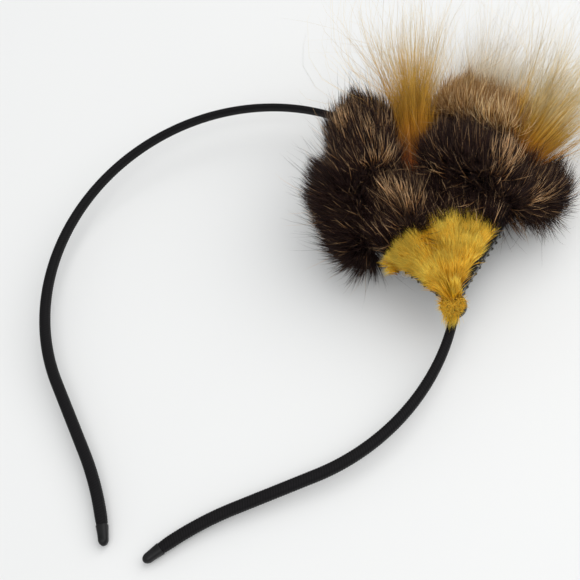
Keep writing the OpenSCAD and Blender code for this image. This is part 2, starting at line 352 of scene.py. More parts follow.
wovenCover = coverMaterial()
blackFelt = feltMaterial("blackFelt", (0.008, 0.007, 0.008), (0.035, 0.032, 0.032))
stiffCloth = feltMaterial("stiffCloth", (0.006, 0.006, 0.006), (0.022, 0.022, 0.02), 0.8)
darkPelt = feltMaterial("darkPelt", (0.004, 0.003, 0.003), (0.012, 0.008, 0.007))
yellowPelt = feltMaterial("yellowPelt", (0.20, 0.08, 0.006), (0.36, 0.16, 0.012))
capRubber = capMaterial()
springSteel = coreMaterial()
edgeThread = threadMaterial("edgeThread", (0.02, 0.019, 0.015), (0.30, 0.28, 0.2), 0.55)
boundThread = threadMaterial("boundThread", (0.015, 0.012, 0.01), (0.05, 0.04, 0.03), 0.5)
clearNylon = nylonMaterial()
print("materials made")


# Mesh helpers

def addObject(name, mesh, material):
    mesh.shade_smooth()
    mesh.materials.append(material)
    piece = bpy.data.objects.new(name, mesh)
    bpy.context.scene.collection.objects.link(piece)
    return piece


def addPiece(name, bm, material, matrix=None):
    if matrix is not None:
        bm.transform(matrix)
    bm.normal_update()
    bmesh.ops.recalc_face_normals(bm, faces=bm.faces)
    mesh = bpy.data.meshes.new(name)
    bm.to_mesh(mesh)
    bm.free()
    return addObject(name, mesh, material)


def standIn(piece, node, body="crown"):
    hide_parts(node)
    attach(piece, body)


tipTaper = {"length": 8, "share": 0.26}  # the band narrows just before its tips


# A tube round the band from a grid: each station is a length, a growth and a scale about the middle line.
def bandTube(bm, stations, sides, mirrored=False, rib=None):
    stations = np.array(stations, float)
    start = len(bm.verts)
    bmesh.ops.create_grid(bm, x_segments=len(stations) - 1, y_segments=sides, size=0.5)
    bm.verts.ensure_lookup_table()
    verts = bm.verts[start:]
    grid = np.array([v.co[:2] for v in verts]) + 0.5
    i = np.rint(grid[:, 0] * (len(stations) - 1)).astype(int)
    j = np.rint(grid[:, 1] * sides).astype(int)
    s, grow, scale = stations[i].T
    point, out, half = bandLine(s)
    turn = 2 * np.pi * j / sides
    wide = np.sign(np.cos(turn)) * np.abs(np.cos(turn)) ** (2 / cover["roundness"])
    high = np.sign(np.sin(turn)) * np.abs(np.sin(turn)) ** (2 / cover["roundness"])
    if rib is not None:  # only the outside is ribbed
        grow = grow + np.where(grow == 0, rib(s, j / sides), 0)
    late = np.clip((s - sideLength) / tipTaper["length"] + 1, 0, 1)
    scale = scale * (1 - tipTaper["share"] * late ** 2 * (3 - 2 * late))
    across = (half + grow) * wide * scale
    co = np.stack([point[:, 0] + out[:, 0] * across, point[:, 1] + out[:, 1] * across,
                   (band["width"] / 2 + grow) * high * scale], -1)
    if mirrored:
        co[:, 0] *= -1
    for v, c in zip(verts, co.tolist()):
        v.co = c
    return verts, s, j / sides


def ribs(s, around):
    phase = s / cover["ribPitch"] + around * cover["ribTurns"]
    return cover["ribHeight"] * (np.abs(np.sin(np.pi * phase)) ** 0.8 - 1)


# The cover goes out along the outside and back along the bore.
def makeCover(name, start, mirrored):
    bm = bmesh.new()
    end = sideLength - cover["short"]
    outside = np.linspace(start, end, round((end - start) / cover["ringStep"]))
    bore = np.linspace(end, start, cover["boreRings"])
    stations = [(r, 0, 1) for r in outside] + [(r, -cover["wall"], 1) for r in bore] + [(start, 0, 1)]
    verts, s, around = bandTube(bm, stations, cover["sides"], mirrored, ribs)
    where = {v: (a, b) for v, a, b in zip(verts, s.tolist(), around.tolist())}
    layer = bm.loops.layers.uv.new("weave")
    for face in bm.faces:
        for loop in face.loops:
            loop[layer].uv = where[loop.vert]
    bmesh.ops.remove_doubles(bm, verts=bm.verts, dist=1e-4)
    return addPiece(name, bm, wovenCover, bandPlace)


def blendAtJoint(piece):
    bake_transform(piece)


# The spring strip inside the cover.
def makeCore(name, start, mirrored):
    bm = bmesh.new()
    grow = -cover["wall"] - core["gap"]
    rings = np.linspace(start, sideLength - core["short"], core["rings"])
    stations = [(rings[0], grow, 0)] + [(r, grow, 1) for r in rings] + [(rings[-1], grow, 0)]
    bandTube(bm, stations, core["sides"], mirrored)
    bmesh.ops.remove_doubles(bm, verts=bm.verts, dist=1e-4)
    return addPiece(name, bm, springSteel, bandPlace)


core = {"gap": 0.08, "short": 1.6, "late": 0.1, "rings": 150, "sides": 16}
splitLength = math.radians(cover["splitAt"]) * lineRadius
leftCover = makeCover("leftCover", -splitLength, True)
rightCover = makeCover("rightCover", splitLength, False)
leftCore = makeCore("leftCore", -splitLength + core["late"], True)
rightCore = makeCore("rightCore", splitLength + core["late"], False)
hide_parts("cover_crown", "cover_left_arm")
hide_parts("cover_right_arm")
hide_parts("core_crown", "core_left_arm")
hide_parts("core_right_arm")
for piece in (leftCover, leftCore):
    blendAtJoint(piece)
for piece in (rightCover, rightCore):
    blendAtJoint(piece)
print("band covered")

cap = {"length": 4.5, "wall": 0.24, "slip": 0.08, "seat": 0.5, "shoulder": 0.3, "sides": 28, "noseRings": 9,
       "lip": ((-0.05, 0.15), (0.1, 0.21), (0.35, 0.24))}


def makeCap(name, node, body, mirrored):
    mouth = sideLength - cap["length"]
    nose = band["legThick"] / 2 + cap["wall"]
    seat = sideLength - cap["seat"]
    stations = [(seat, cap["slip"], 0), (seat, cap["slip"], 1), (mouth, cap["slip"], 1)]
    stations += [(mouth + step, grow, 1) for step, grow in cap["lip"]]
    stations += [(s, cap["wall"], 1) for s in np.linspace(mouth + 0.8, seat + 0.1, 6)]
    for k in range(cap["noseRings"] + 1):
        a = math.pi / 2 * k / cap["noseRings"]
        stations.append((sideLength - cap["shoulder"] + nose * math.sin(a), cap["wall"], max(math.cos(a), 0)))
    bm = bmesh.new()
    bandTube(bm, stations, cap["sides"], mirrored)
    bmesh.ops.remove_doubles(bm, verts=bm.verts, dist=1e-4)
    piece = addPiece(name, bm, capRubber, bandPlace)
    standIn(piece, node, body)


makeCap("leftCap", "left_tip_cap", "left_arm", True)
makeCap("rightCap", "right_tip_cap", "right_arm", False)


# The fan's base, lining and stitches

# A flat sheet with soft rims, raised from an outline.
def slab(bm, outline, low, high, rim, segments):
    corners = [bm.verts.new((x, y, low)) for x, y in outline]
    sheet = bm.faces.new(corners)
    raised = bmesh.ops.extrude_face_region(bm, geom=[sheet])["geom"]
    upper = [g for g in raised if isinstance(g, bmesh.types.BMVert)]
    bmesh.ops.translate(bm, vec=(0, 0, high - low), verts=upper)
    bm.normal_update()
    edges = [e for e in bm.edges if abs(e.verts[0].co.z - e.verts[1].co.z) < 1e-6]
    bmesh.ops.bevel(bm, geom=edges, offset=rim, offset_type="OFFSET", affect="EDGES", segments=segments,
                    profile=0.5, material=-1)


def fanSheet(bm, shrink, low, high, rim):
    half = math.radians(fan["open"] / 2)
    back = shrink / math.sin(half)
    reach = fan["radius"] - shrink - back
    tip = fan["tipRadius"] - shrink
    arc = np.linspace(half, -half, 40)
    outline = [(back + reach * math.cos(a), reach * math.sin(a)) for a in arc]
    outline += [(tip * math.cos(a), tip * math.sin(a)) for a in np.linspace(-half, half - 2 * math.pi, 26)]
    slab(bm, outline, low, high, rim, 3)
    bmesh.ops.triangulate(bm, faces=[f for f in bm.faces if len(f.verts) > 4])


sheets = {"baseRim": 0.4, "liningRim": 0.25, "liningInset": 0.8, "gap": 0.02}
bm = bmesh.new()
fanSheet(bm, 0, baseZ, topZ, sheets["baseRim"])
base = addPiece("stiffBase", bm, stiffCloth, fanPlace)
standIn(base, "fan_base")

bm = bmesh.new()
fanSheet(bm, sheets["liningInset"], liningZ + sheets["gap"], baseZ - sheets["gap"], sheets["liningRim"])
lining = addPiece("feltLining", bm, blackFelt, fanPlace)
standIn(lining, "base_lining")


def threadRing(bm, major, minor, matrix, steps, sides, squash=1.0):
    upright = Matrix.Translation((major, 0, 0)) @ Matrix.Rotation(math.pi / 2, 4, "X")
    ring = bmesh.ops.create_circle(bm, segments=sides, radius=minor, matrix=upright)
    edges = list({e for v in ring["verts"] for e in v.link_edges})
    before = set(bm.verts) - set(ring["verts"])
    bmesh.ops.spin(bm, geom=ring["verts"] + edges, cent=(0, 0, 0), axis=(0, 0, 1), steps=steps,
                   angle=2 * math.pi, use_merge=True)
    made = [v for v in bm.verts if v not in before]
    bmesh.ops.scale(bm, vec=(1, squash, 1), verts=made)
    bmesh.ops.transform(bm, matrix=matrix, verts=made)


stitch = {"first": 7, "pitch": 2.4, "count": 9, "thread": 0.5, "reach": 1.1, "slant": 24}
bm = bmesh.new()
for side in (-1, 1):
    for i in range(stitch["count"]):
        spot = (Matrix.Rotation(side * math.radians(fan["open"] / 2), 4, "Z")
                @ Matrix.Translation((stitch["first"] + i * stitch["pitch"], -side * (stitch["reach"] - 0.3),
                                      (baseZ + topZ) / 2))
                @ Matrix.Rotation(math.radians(stitch["slant"] + 5 * math.sin(7.0 * i + side)), 4, "Z")
                @ Matrix.Rotation(math.pi / 2, 4, "Y"))
        threadRing(bm, fan["baseThick"] / 2 + stitch["thread"] / 2, stitch["thread"] / 2, spot, 16, 6, 1.15)
stitches = addPiece("whipStitches", bm, edgeThread, fanPlace)
standIn(stitches, "edge_stitches")

keeper = {"length": 6, "thick": 0.9, "slip": 0.08}


# A felt strap bent under the band, with both ends up to a height.
def makeKeeper(name, node, angle, top):
    bm = bmesh.new()
    cols, rows = 8, 18
    bmesh.ops.create_grid(bm, x_segments=cols, y_segments=rows, size=0.5)
    middle = math.radians(angle) * lineRadius
    rng = np.random.default_rng(angle)
    for v in bm.verts:
        s = middle + keeper["length"] * v.co.x
        point, out, half = bandLine([s])
        wide = half[0] + keeper["slip"]
        low = -band["width"] / 2 - keeper["slip"]
        span = 2 * (top - low) + 2 * wide
        d = (v.co.y + 0.5) * span
        if d < top - low:
            across, z = -wide, top - d
        elif d < top - low + 2 * wide:
            across, z = d - (top - low) - wide, low
        else:
            across, z = wide, low + d - (top - low) - 2 * wide
        across += rng.normal(0, 0.03)
        v.co = (*(point[0] + out[0] * across), z)
    bmesh.ops.smooth_vert(bm, verts=bm.verts, factor=0.3, use_axis_x=True, use_axis_y=True, use_axis_z=True)
    bmesh.ops.recalc_face_normals(bm, faces=bm.faces)
    face = min(bm.faces, key=lambda f: f.calc_center_median().z)
    if face.normal.z > 0:
        bmesh.ops.reverse_faces(bm, faces=bm.faces)
    bm.normal_update()
    bmesh.ops.solidify(bm, geom=bm.faces, thickness=-keeper["thick"])
    piece = addPiece(name, bm, blackFelt, bandPlace)
    standIn(piece, node)


makeKeeper("crownKeeper", "keeper_crown", 12, furZ - fan["furGap"])
makeKeeper("upperKeeper", "keeper_upper", 40, liningZ)
makeKeeper("middleKeeper", "keeper_middle", 56, liningZ)
makeKeeper("lowerKeeper", "keeper_lower", 71, liningZ)

binding = {"length": 4, "thread": 0.6}
bindings = {
    "centre": ((40.5, 5, furZ + 3), -8, 2.8),
    "right": ((39.5, -24.5, furZ + 3), -45, 2.8),
    "back": ((46, -14, liningZ - 2.6), -8, 2.3),
}
for name, (middle, heading, radius) in bindings.items():
    bm = bmesh.new()
    turns = round(binding["length"] / binding["thread"])
    for i in range(turns):
        spot = (Matrix.Translation(middle) @ Matrix.Rotation(math.radians(heading), 4, "Z")
                @ Matrix.Translation(((i + 0.5) * binding["thread"] - binding["length"] / 2, 0, 0))
                @ Matrix.Rotation(math.pi / 2 + 0.05 * math.sin(3.0 * i), 4, "Y"))
        threadRing(bm, radius - binding["thread"] / 2, binding["thread"] / 2, spot, 24, 8)
    piece = addPiece(name + "Binding", bm, boundThread, fanPlace)
    standIn(piece, name + "_binding")

nylon = {"radius": 1.9, "wire": 0.2, "at": 19, "out": 0.3, "steps": 14}
curve = bpy.data.curves.new("nylonLoop", "CURVE")
curve.dimensions = "3D"
curve.bevel_depth = nylon["wire"] * mm
curve.bevel_resolution = 3
curve.use_fill_caps = True
line = curve.splines.new("NURBS")
line.points.add(nylon["steps"])
edgeTurn = math.radians(fan["open"] / 2)
for i in range(nylon["steps"] + 1):
    a = math.pi * i / nylon["steps"]
    r = nylon["radius"] * (1 + 0.12 * math.sin(3 * a))
    x = nylon["at"] + r * math.cos(a)
    y = nylon["out"] + r * math.sin(a)
    spot = Vector((x, y, (baseZ + topZ) / 2 + 0.5 * math.sin(a)))
    line.points[i].co = (*(fanPlace @ Matrix.Rotation(edgeTurn, 4, "Z") @ spot), 1)
line.use_endpoint_u = True
line.order_u = 4
curve.materials.append(clearNylon)
loop = bpy.data.objects.new("nylonLoop", curve)
bpy.context.scene.collection.objects.link(loop)
standIn(loop, "thread_loop")
print("base, lining, stitches, keepers and bindings made")


# Hair

shadeColumns = 48
ceiling = {"box": cadBox[1], "over": (0.0125, 0.0140, 0.0095), "knee": 0.008}


# Bends the last wisps back so they stay near the solid parts.
def settle(co):
    for axis in range(3):
        limit = ceiling["box"][axis] + ceiling["over"][axis]
        start = limit - ceiling["knee"]
        past = np.maximum(co[:, axis] - start, 0)
        co[:, axis] += ceiling["knee"] * np.tanh(past / ceiling["knee"]) - past
    co[:, 2] = np.maximum(co[:, 2], tableZ + 0.1 * mm)
    return co


def unit(v):
    return v / np.maximum(np.linalg.norm(v, axis=-1, keepdims=True), 1e-9)


# Each strand is a thin closed three-sided spike along its path.
def strandMesh(name, node, batches, material):
    allVerts, allFaces, allUvs = [], [], []
    offset = 0
    for paths, width, shade, reach, rng in batches:
        n, rings = paths.shape[:2]
        rings -= 1
        tangent = unit(np.gradient(paths, axis=1))
        side = unit(np.cross(tangent, unit(rng.normal(size=(n, 1, 3)))))
        up = np.cross(tangent, side)
        t = np.arange(rings) / rings
        radius = width[:, None] / 2 * (1 - 0.75 * t ** 1.6)[None, :]
        corners = 2 * np.pi * np.arange(3) / 3
        ring = side[:, :rings, None] * np.cos(corners)[:, None]
        ring = ring + up[:, :rings, None] * np.sin(corners)[:, None]
        verts = paths[:, :rings, None] + ring * radius[:, :, None, None]
        verts = np.concatenate([verts.reshape(n, rings * 3, 3), paths[:, -1:]], 1)
        faces, uvs = [(0, 2, 1)], [((0.1, 0), (0.9, 0), (0.5, 0.01))]
        for k in range(rings):
            for j in range(3):
                a, b = 3 * k + j, 3 * k + (j + 1) % 3
                u0, u1, v0, v1 = j / 3, (j + 1) / 3, k / rings, (k + 1) / rings
                if k == rings - 1:
                    faces.append((a, b, 3 * rings))
                    uvs.append(((u0, v0), (u1, v0), ((u0 + u1) / 2, 1)))
                else:
                    c, d = b + 3, a + 3
                    faces += [(a, b, c), (a, c, d)]
                    uvs += [((u0, v0), (u1, v0), (u1, v1)), ((u0, v0), (u1, v1), (u0, v1))]
        faces, uvs = np.array(faces), np.array(uvs)
        column = np.clip(np.floor(shade * shadeColumns), 0, shadeColumns - 1)
        index = np.arange(n)[:, None, None] * verts.shape[1] + faces[None] + offset
        strandUv = np.broadcast_to(uvs[None], (n, *uvs.shape)).copy()
        strandUv[..., 0] = (column[:, None, None] + 0.15 + 0.7 * strandUv[..., 0]) / shadeColumns
        # How far along the root-to-tip colours a strand goes; for the pile this also carries painted shade
        # between tufts and in the cleft.
        strandUv[..., 1] = 0.01 + 0.98 * strandUv[..., 1] * np.broadcast_to(reach, n)[:, None, None]
        allVerts.append(verts.reshape(-1, 3))
        allFaces.append(index.reshape(-1, 3))
        allUvs.append(strandUv.reshape(-1, 2))
        offset += n * verts.shape[1]
    co = np.concatenate(allVerts)
    face = np.concatenate(allFaces)
    uv = np.concatenate(allUvs)
    co = settle(placed(co, fanPlace))
    mesh = bpy.data.meshes.new(name)
    mesh.vertices.add(len(co))
    mesh.vertices.foreach_set("co", co.astype(np.float32).ravel())
    mesh.loops.add(len(face) * 3)
    mesh.loops.foreach_set("vertex_index", face.astype(np.int32).ravel())
    mesh.polygons.add(len(face))
    mesh.polygons.foreach_set("loop_start", np.arange(0, len(face) * 3, 3, dtype=np.int32))
    mesh.uv_layers.new(name="OFBake").data.foreach_set("uv", uv.astype(np.float32).ravel())
    mesh.update(calc_edges=True)
    piece = addObject(name, mesh, material)
    standIn(piece, node)
    print(name, len(face), "triangles")


def nearestSeed(points, seeds):
    best = np.empty(len(points), int)
    for i in range(0, len(points), 1000):
        gap = ((points[i:i + 1000, None] - seeds[None]) ** 2).sum(-1)
        best[i:i + 1000] = gap.argmin(1)
    return best


def bezier(points, steps):
    t = np.linspace(0, 1, steps + 1)[None, :, None]
    a, b, c = [p[:, None] for p in points]
    return (1 - t) ** 2 * a + 2 * t * (1 - t) * b + t ** 2 * c


# How hair is combed: its lift, how hair on the far side lies less and strays more, and where it bends.
strand = {"lift": 0.45, "calm": 0.75, "unruly": 1.6, "knee": 0.45, "rest": 0.62}


# Hair from roots with outward directions, combed one way and drawn into tufts.
def combed(roots, normals, comb, layer, rng, ease=None):
    n = len(roots)
    length = rng.uniform(*layer["length"], n)[:, None]
    if ease is not None:
        length = length * ease[:, None]
    facing = (comb * normals).sum(-1, keepdims=True)
    lifted = comb + np.array([0, 0, strand["lift"]])
    along = lifted - (lifted * normals).sum(-1, keepdims=True) * normals
    along = along / (np.linalg.norm(along, axis=-1, keepdims=True) + 0.15) + np.maximum(0, facing) * comb
    away = np.clip(-facing, 0, 1)
    lean = layer["lean"] * (1 - strand["calm"] * away)
    wild = rng.normal(0, layer["wild"], (n, 3)) * (1 + strand["unruly"] * away)
    first = unit(normals + 0.5 * lean * along + 0.4 * wild)
    last = unit(normals * (1 - lean) + 1.4 * lean * along + wild)
    knees = roots + strand["knee"] * length * first
    tips = knees + strand["rest"] * length * last
    seeds = rng.choice(n, max(1, n // layer["tuft"]), replace=False)
    near = seeds[nearestSeed(roots, roots[seeds])]
    pull = layer["pull"] * rng.uniform(0.6, 1.1, (n, 1))
    offset = roots - roots[near]
    tips += pull * (tips[near] + 0.3 * offset - tips)
    knees += 0.45 * pull * (knees[near] + 0.6 * offset - knees)
    return [roots, knees, tips], near


# Points all over a capsule, with their outward directions.
def onCapsule(a, b, radius, n, rng):
    a, b = np.array(a, float), np.array(b, float)
    axis = unit(b - a)
    length = np.linalg.norm(b - a)
    wall = length / (length + 2 * radius)
    ball = unit(rng.normal(size=(n, 3)))
    onWall = rng.random(n) < wall
    side = unit(ball - (ball @ axis)[:, None] * axis)
    t = rng.random(n)[:, None]
    wallPoint = a + t * (b - a)
    endPoint = np.where((ball @ axis)[:, None] > 0, b, a)
    normals = np.where(onWall[:, None], side, ball)
    return np.where(onWall[:, None], wallPoint, endPoint) + radius * normals, normals


def toSegment(points, a, b):
    a, b = np.array(a, float), np.array(b, float)
    t = np.clip((points - a) @ (b - a) / ((b - a) @ (b - a)), 0, 1)
    return np.linalg.norm(points - a - t[:, None] * (b - a), axis=-1)


# Each lobe is a capsule of hair: its ends, radius and hair depth, the way it is combed, and its pale tufts.
lobes = {
    "left_bottom_lobe": {
        "ends": ((42, 25.5, 8), (31, 23, 2)), "radius": 12.3, "depth": 5.5, "overEdge": True,
        "comb": (0.75, 0.62, 0.0), "lean": 0.5, "light": 0.02, "warm": 0.12,
        "tufts": [((36, 35, 6), 3, 0.4), ((32, 16, 16), 2.4, 0.4), ((38, 15, 16), 2.4, 0.4),
                  ((31, 34, 4), 2, 0.3)],
    },
    "left_top_lobe": {
        "ends": ((62, 18, 8), (48, 19, 9)), "radius": 11.5, "depth": 5, "overEdge": False,
        "comb": (1, 0.12, 0.05), "lean": 0.66, "light": 0.06, "warm": 0.38,
        "tufts": [((63, 23, 17), 3, 0.65), ((62, 30, 12), 2, 0.6), ((44, 20, 17), 2.6, 0.8),
                  ((48, 13, 17), 3.4, 0.7), ((57, 17, 18), 3, 0.3), ((59, 10.5, 15), 3, 0.4)],
    },
    "middle_lobe": {
        "ends": ((36, 10, 8.5), (27, 9.5, 6.5)), "radius": 8.5, "depth": 4, "overEdge": False,
        "comb": (1, 0.22, 0), "lean": 0.7, "light": 0.16, "warm": 0.6,
        "tufts": [((35, 11, 16), 3.5, 0.6), ((31, 5, 16), 3.2, 0.65), ((29, 1, 15), 2, 0.6),
                  ((25, 12.5, 14), 2, 0.6), ((41, 13, 16), 2.5, 0.55)],
    },
    "centre_lobe": {
        "ends": ((44.5, -9.5, 9), (38, -17, 8.5)), "radius": 13.2, "depth": 5.5, "overEdge": False,
        "comb": (0.95, -0.3, 0), "lean": 0.62, "light": 0.03, "warm": 0.25,
        "tufts": [((40, -23.5, 17), 4.5, 0.75), ((34, -21, 17), 3, 0.5), ((40, -3.6, 19), 2.5, 0.35),
                  ((33, -8.5, 19), 1.6, 0.5), ((27, -10.5, 16), 2.4, 0.6), ((29.5, -18, 16), 2.6, 0.4)],
    },
    "centre_top_lobe": {
        "ends": ((63, -13, 7), (53, -26, 7)), "radius": 9.5, "depth": 4.5, "overEdge": False,
        "comb": (0.9, -0.42, 0.1), "lean": 0.68, "light": 0.16, "warm": 0.6,
        "tufts": [((53.5, -20.5, 16), 6.5, 0.7), ((59, -20, 15), 5, 0.5), ((49, -30, 13), 4, 0.6)],
    },
    "right_lobe": {
        "ends": ((31, -20, 8), (33.5, -32.5, 0)), "radius": 8.9, "depth": 4.8, "overEdge": True,
        "comb": (0.8, -0.6, 0), "lean": 0.62, "light": 0.05, "warm": 0.3,
        "tufts": [((27, -32, 12), 4, 0.7), ((22, -37, 8), 3.5, 0.55), ((33, -28, 17), 2.5, 0.5)],
    },
}
hair = {
    "under": {"count": 11500, "length": (5.5, 9), "width": 0.2, "wild": 0.32,
              "tuft": 22, "pull": 0.5, "steps": 2},
    "guard": {"count": 1900, "length": (8.5, 12.5), "width": 0.22, "wild": 0.16,
              "tuft": 5, "pull": 0.35, "steps": 4},
    "stray": {"count": 130, "length": (12, 19), "width": 0.1, "wild": 0.3,
              "tuft": 1, "pull": 0, "steps": 5},
}
infill = {"count": 7000, "from": 23, "length": (9, 15), "width": 0.24, "wild": 0.22, "tuft": 14, "pull": 0.5,
          "lean": 0.4, "steps": 3, "warm": 0.08, "plumeGap": 4.5}


# Which points lie over the fan's base.
def onBase(points, margin=0.0):
    angle = np.abs(np.degrees(np.arctan2(points[..., 1], points[..., 0])))
    reach = np.linalg.norm(points[..., :2], axis=-1)
    return (reach < fan["radius"] + margin) & (angle < fan["open"] / 2)


def lobeRoots(name, count, rng):
    lobe = lobes[name]
    roots, normals = onCapsule(*lobe["ends"], lobe["radius"] - lobe["depth"], count * 3, rng)
    keep = np.ones(len(roots), bool)
    for other, o in lobes.items():
        if other != name:
            keep &= toSegment(roots, *o["ends"]) > o["radius"] - o["depth"] + 0.5
    if lobe["overEdge"]:
        inSlab = onBase(roots, 0.5) & (roots[:, 2] > liningZ - 0.5) & (roots[:, 2] < furZ)
        under = onBase(roots, -3) & (roots[:, 2] < liningZ)
        keep &= ~inSlab & ~under
        keep &= placed(roots, fanPlace)[:, 2] > tableZ + 1.5 * mm
    else:
        keep &= (roots[:, 2] > furZ) & (normals[:, 2] > -0.55)
    keep &= np.linalg.norm(roots[:, :2], axis=-1) > patch["radius"] - 3.5
    facing = normals @ unit(np.array(lobe["comb"], float))
    keep &= (facing > -0.5) | (rng.random(len(roots)) < 0.35) | (roots[:, 2] < furZ + 3)
    chosen = np.flatnonzero(keep)[:count]
    return roots[chosen], normals[chosen]


def clearOfBase(paths):
    inside = onBase(paths, 1)
    paths[..., 2] = np.where(inside & (paths[..., 2] < furZ), furZ, paths[..., 2])
    return paths


def lobeHair(name, seed):
    lobe = lobes[name]
    rng = np.random.default_rng(seed)
    comb = unit(np.array(lobe["comb"], float))
    batches = []
    for kind, layer in hair.items():
        layer = dict(layer, lean=lobe["lean"] * (1.15 if kind == "guard" else 1))
        share = (lobe["radius"] / 12) ** 2
        roots, normals = lobeRoots(name, round(layer["count"] * min(1, share)), rng)
        outward = unit(roots * (1, 1, 0)) - unit(np.mean(lobe["ends"], axis=0) * (1, 1, 0))
        pts, near = combed(roots, normals, unit(comb + 0.5 * outward), layer, rng)
        light = np.full(len(roots), lobe["light"] * (1 if kind == "guard" else 0.3))
        for centre, radius, amount in lobe["tufts"]:
            gap = np.linalg.norm(0.5 * (roots + pts[2]) - np.array(centre, float), axis=-1)
            strength = 1 if kind == "guard" else 0.35
            light = np.maximum(light, strength * amount * np.clip(1.6 - gap / radius, 0, 1))
        chance = 0.35 * rng.random(len(roots))[near] + 0.65 * rng.random(len(roots))
        fair = chance < light
        if kind == "stray":
            fair = rng.random(len(roots)) < 0.25
        warm = rng.random(len(roots)) < lobe["warm"] * (1 if kind == "guard" else 0.35)
        plain = np.where(warm, rng.uniform(0.5, 0.74, len(roots)), rng.uniform(0, 0.5, len(roots)))
        shade = np.where(fair, rng.uniform(0.74, 1, len(roots)), plain)
        paths = bezier(pts, layer["steps"])
        if not lobe["overEdge"]:
            paths = clearOfBase(paths)
        width = layer["width"] * rng.uniform(0.7, 1.25, len(roots))
        batches.append((paths, width, shade, 1, rng))
    return batches


# Lower hair between the lobes, so no base shows in the dips.
def infillHair(seed):
    rng = np.random.default_rng(seed)
    n = infill["count"]
    reach = np.sqrt(rng.uniform(infill["from"] ** 2, (fan["radius"] - 1) ** 2, n))
    angle = np.radians(rng.uniform(-1, 1, n) * (fan["open"] / 2 - 0.4))
    roots = np.stack([reach * np.cos(angle), reach * np.sin(angle), np.full(n, furZ + 0.1)], -1)
    keep = np.ones(n, bool)
    for lobe in lobes.values():
        keep &= toSegment(roots, *lobe["ends"]) > lobe["radius"] - lobe["depth"]
    for plume in plumes.values():
        keep &= toSegment(roots, *plume["route"][:2]) > infill["plumeGap"]
    roots = roots[keep]
    normals = np.tile([0.0, 0, 1], (len(roots), 1))
    pts, near = combed(roots, normals, unit(roots * (1, 1, 0)), infill, rng)
    warm = rng.random(len(roots)) < infill["warm"]
    shade = np.where(warm, rng.uniform(0.55, 1, len(roots)), rng.uniform(0, 0.5, len(roots)))
    width = infill["width"] * rng.uniform(0.7, 1.25, len(roots))
    return bezier(pts, infill["steps"]), width, shade, 1, rng


def lobePelt(name):
    lobe = lobes[name]
    radius = lobe["radius"] - lobe["depth"]
    bm = bmesh.new()
    for end in lobe["ends"]:
        spot = Matrix.Translation(end)
        bmesh.ops.create_uvsphere(bm, u_segments=32, v_segments=20, radius=radius, matrix=spot)
    hull = bmesh.ops.convex_hull(bm, input=bm.verts)
    spare = [g for g in hull["geom_interior"] + hull["geom_unused"] if isinstance(g, bmesh.types.BMVert)]
    bmesh.ops.delete(bm, geom=spare, context="VERTS")
    kept = set(f for f in hull["geom"] if isinstance(f, bmesh.types.BMFace))
    bmesh.ops.delete(bm, geom=[f for f in bm.faces if f not in kept], context="FACES")
    bmesh.ops.remove_doubles(bm, verts=bm.verts, dist=1e-4)
    if not lobe["overEdge"]:
        cut = bmesh.ops.bisect_plane(bm, geom=bm.verts[:] + bm.edges[:] + bm.faces[:], plane_co=(0, 0, furZ),
                                     plane_no=(0, 0, -1), clear_outer=True)
        rim = [g for g in cut["geom_cut"] if isinstance(g, bmesh.types.BMEdge)]
        bmesh.ops.holes_fill(bm, edges=rim)
    return bm


# Plumes go from root by a middle point to tip, and spread by three radii. Layers go from dense to loose.
plumes = {
    "centre": {
        "route": ((40.5, 5, furZ + 3), (68, 1, 11), (104, -3, 12)),
        "spread": (2.1, 8.5, 16), "material": goldenHair, "tone": 0.9,
        "slot": "golden_fur",
        "layers": [
            {"count": 4400, "reach": (0.25, 0.6), "width": 0.19,
             "tuft": 22, "pull": 0.45, "curl": 4, "steps": 4, "fan": 1},
            {"count": 1250, "reach": (0.5, 1.0), "width": 0.11,
             "tuft": 9, "pull": 0.75, "curl": 19, "steps": 8, "fan": 0.75},
            {"count": 200, "reach": (0.5, 1.05), "width": 0.1,
             "tuft": 4, "pull": 0.6, "curl": 44, "steps": 10, "fan": 1.4},
        ],
    },
    "right": {
        "route": ((39.5, -24.5, furZ + 3), (55, -39, 10), (75, -58, 10)),
        "spread": (2.6, 11, 15), "material": goldenHair, "tone": 1.45,
        "slot": "golden_fur",
        "layers": [
            {"count": 4700, "reach": (0.2, 0.62), "width": 0.18,
             "tuft": 22, "pull": 0.5, "curl": 6, "steps": 4, "fan": 1},
            {"count": 1300, "reach": (0.5, 1.05), "width": 0.11,
             "tuft": 9, "pull": 0.75, "curl": 17, "steps": 8, "fan": 1.3},
            {"count": 220, "reach": (0.5, 1.1), "width": 0.1,
             "tuft": 4, "pull": 0.6, "curl": 34, "steps": 10, "fan": 1.5},
        ],
    },
    "back": {
        "route": ((46, -14, liningZ - 2.6), (72, -21, -3), (98, -34, -4)),
        "spread": (1.7, 14, 24), "material": paleHair, "tone": 1.2,
        "slot": "pale_fur",
        "layers": [
            {"count": 2400, "reach": (0.35, 0.8), "width": 0.13,
             "tuft": 16, "pull": 0.55, "curl": 12, "steps": 5, "fan": 1},
            {"count": 1900, "reach": (0.6, 1.05), "width": 0.1,
             "tuft": 10, "pull": 0.75, "curl": 20, "steps": 8, "fan": 1.2},
        ],
    },
}

patch = {"radius": 27.5, "height": 7, "domeRadius": 30, "seat": 14, "pelt": 1}  # the short pile's own dome

for seed, name in enumerate(lobes):
    words = name.split("_")
    short = words[0] + "".join(w.capitalize() for w in words[1:-1])
    brown = name == "centre_top_lobe"
    batches = lobeHair(name, seed + 11)
    if name == "middle_lobe":
        batches.append(infillHair(31))
    strandMesh(short + "Fur", name, batches, brownHair if brown else darkHair)
    pelt = addPiece(short + "Pelt", lobePelt(name), darkPelt, fanPlace)
    standIn(pelt, name)
print("dark fur made")


# Short pile

